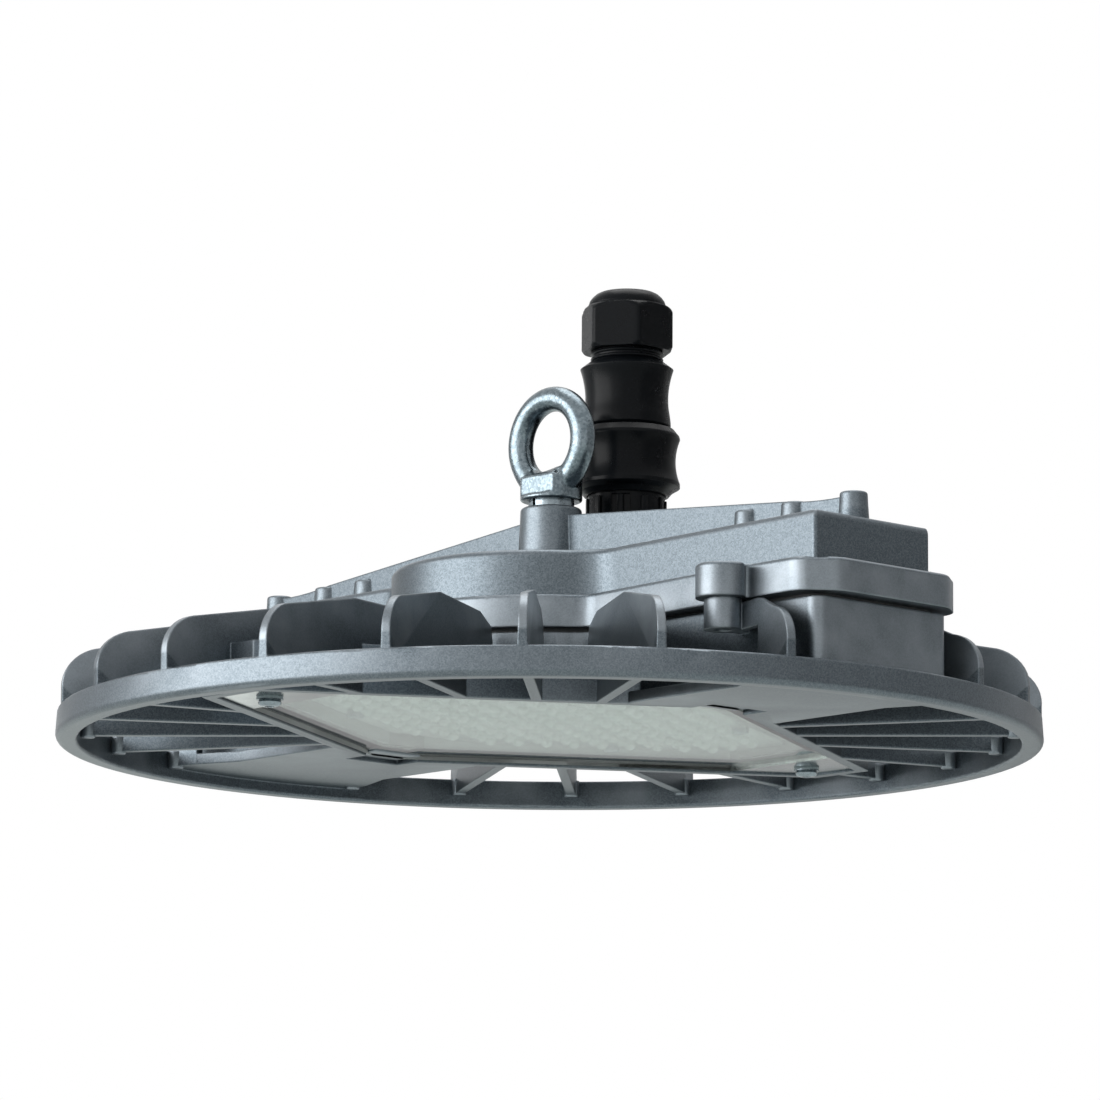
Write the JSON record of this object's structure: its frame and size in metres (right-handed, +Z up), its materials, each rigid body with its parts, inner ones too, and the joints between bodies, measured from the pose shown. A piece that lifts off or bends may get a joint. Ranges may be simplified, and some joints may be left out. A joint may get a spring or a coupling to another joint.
{
  "type": "industrial led high-bay light",
  "caption": "Round die-cast high-bay lamp with radial cooling fins, a driver housing across it, a glazed lozenge lamp window underneath, an eyebolt and a pluggable cable connector.",
  "frame": {"origin": "centre of the rim, in the plane of its foot", "axes": "+Z up, from the lamp window to the eyebolt; +X along one arm of the driver housing; +Y from the eyebolt to the connector"},
  "size_m": [0.3098, 0.3098, 0.152],
  "materials": {
    "cast_paint": "silver-grey metallic powder coat, satin",
    "zinc_steel": "bright zinc plate",
    "stainless": "smooth, reflective",
    "black_plastic": "satin black polyamide",
    "seal_rubber": "matt silicone",
    "pane_glass": "clear toughened pane, slightly green",
    "clear_optic": "clear moulded optic",
    "board_white": "white solder mask",
    "led_phosphor": "yellow phosphor",
    "contact_brass": "bright",
    "driver_case": "plain folded sheet",
    "terminal_plastic": "light grey",
    "wire_sleeve": "insulated wire"
  },
  "bodies": {
    "root": {"heatsink": "cast_paint", "housing_cover": "cast_paint", "eyebolt": "zinc_steel", "eyebolt_washer": "zinc_steel", "cover_screws": "zinc_steel", "retainer_screws": "zinc_steel", "board_screws": "zinc_steel", "driver_screws": "zinc_steel", "earth_screw": "zinc_steel", "retainer_left": "stainless", "retainer_right": "stainless", "inlet_socket": "black_plastic", "inlet_locknut": "black_plastic", "locking_ring": "black_plastic", "plug_body": "black_plastic", "gland_nut": "black_plastic", "cover_gasket": "seal_rubber", "inlet_seal": "seal_rubber", "plug_seal": "seal_rubber", "gland_seal": "seal_rubber", "glass_seal": "seal_rubber", "thermal_pad": "seal_rubber", "glass_pane": "pane_glass", "lens_plate": "clear_optic", "led_board": "board_white", "led_chips": "led_phosphor", "contact_pins": "contact_brass", "led_driver": "driver_case", "terminal_block": "terminal_plastic", "supply_leads": "wire_sleeve", "driver_leads": "wire_sleeve", "led_leads": "wire_sleeve", "earth_lead": "wire_sleeve"}
  },
  "joints": []
}
